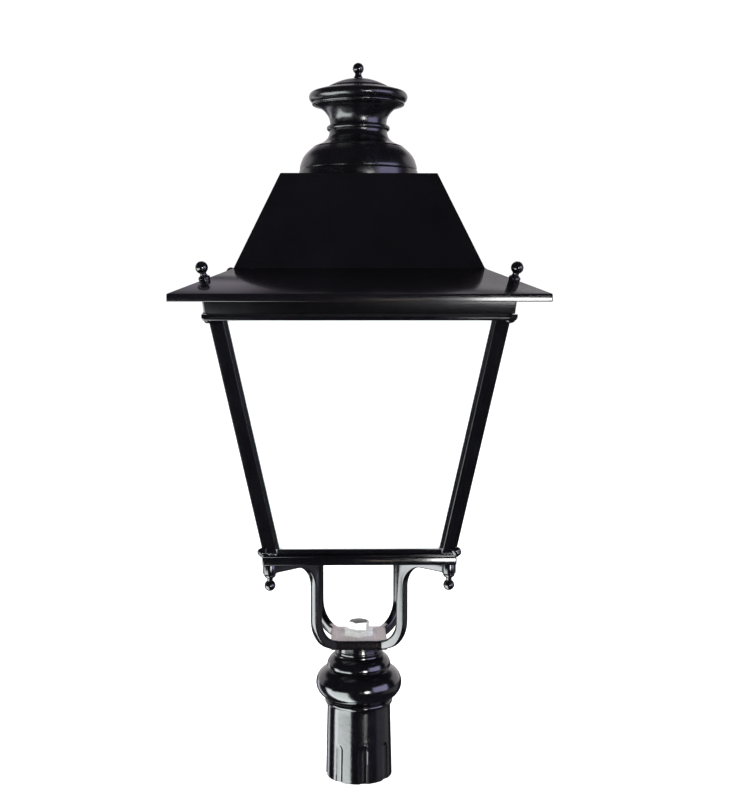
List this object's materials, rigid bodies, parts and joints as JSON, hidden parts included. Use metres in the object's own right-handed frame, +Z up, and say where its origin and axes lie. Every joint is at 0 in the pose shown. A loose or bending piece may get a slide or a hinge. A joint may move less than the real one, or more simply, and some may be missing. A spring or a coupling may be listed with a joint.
{
  "type": "post top lantern",
  "caption": "Square lantern with opal panels, hipped roof and round chimney, carried by a four-armed bracket on a fluted post head",
  "frame": {"origin": "on the post's axis, at the open foot of the post head", "axes": "+Z up along the post, -Y the front, +X to the right of a viewer at the front"},
  "size_m": [0.422, 0.422, 0.9065],
  "materials": {
    "cast_black": "gloss enamel over a casting",
    "frame_black": "gloss enamel",
    "sheet_black": "satin enamel on sheet",
    "turned_black": "gloss enamel over turned and spun metal",
    "zinc": "zinc plated",
    "zinc_sheet": "galvanised sheet",
    "dark_steel": "blackened",
    "opal": "white opal, smooth",
    "black_rubber": "matte",
    "black_plastic": "fine grain",
    "gear_plastic": "fine grain",
    "holder_white": "glazed white",
    "lamp_glass": "frosted white"
  },
  "bodies": {
    "lantern": {"post_head": "cast_black", "post_set_screws": "dark_steel", "bracket": "cast_black", "hub_nut": "zinc", "hub_bolt": "zinc", "base_ring": "frame_black", "bottom_frame": "frame_black", "bottom_plate": "frame_black", "cable_gland": "black_plastic", "gland_locknut": "black_plastic", "top_frame": "frame_black", "roof_seal": "black_rubber", "hinge_lower_leaves": "frame_black", "hinge_pins": "zinc", "ball_bolt_front_left": "turned_black", "ball_bolt_front_right": "turned_black", "ball_bolt_back_right": "turned_black", "ball_bolt_back_left": "turned_black", "upright_front_left": "frame_black", "upright_front_right": "frame_black", "upright_back_right": "frame_black", "upright_back_left": "frame_black", "corner_retainer_front_left": "zinc", "corner_retainer_front_right": "zinc", "corner_retainer_back_right": "zinc", "corner_retainer_back_left": "zinc", "panel_front": "opal", "panel_right": "opal", "panel_back": "opal", "panel_left": "opal", "glazing_beads_front": "black_rubber", "glazing_beads_right": "black_rubber", "glazing_beads_back": "black_rubber", "glazing_beads_left": "black_rubber"},
    "roof": {"canopy_band": "sheet_black", "eave_skirt": "sheet_black", "steep_roof": "sheet_black", "chimney_base": "turned_black", "chimney_neck": "turned_black", "cap_lid": "turned_black", "top_ball": "turned_black", "cap_rod": "zinc", "cap_crossbar": "zinc", "rod_nut": "zinc", "finial_nuts": "zinc", "hinge_upper_leaves": "frame_black", "gear_tray": "zinc_sheet", "tray_screws": "zinc", "control_gear": "gear_plastic", "terminal_block": "gear_plastic", "lamp_holder": "holder_white", "lamp": "lamp_glass", "roof_finial_front_left": "turned_black", "roof_finial_front_right": "turned_black", "roof_finial_back_right": "turned_black", "roof_finial_back_left": "turned_black"},
    "roof_screw": {"roof_screw": "zinc", "screw_clip": "zinc"}
  },
  "joints": [
    {"name": "roof_hinge", "type": "hinge", "parent": "lantern", "child": "roof", "pos_m": [-0.1815, 0, 0.59725], "axis": [0, -1, 0], "range_deg": [0, 105]},
    {"name": "roof_screw_turn", "type": "hinge", "parent": "lantern", "child": "roof_screw", "pos_m": [0.1843, 0, 0.5936], "axis": [0, 0, 1], "continuous": true}
  ]
}
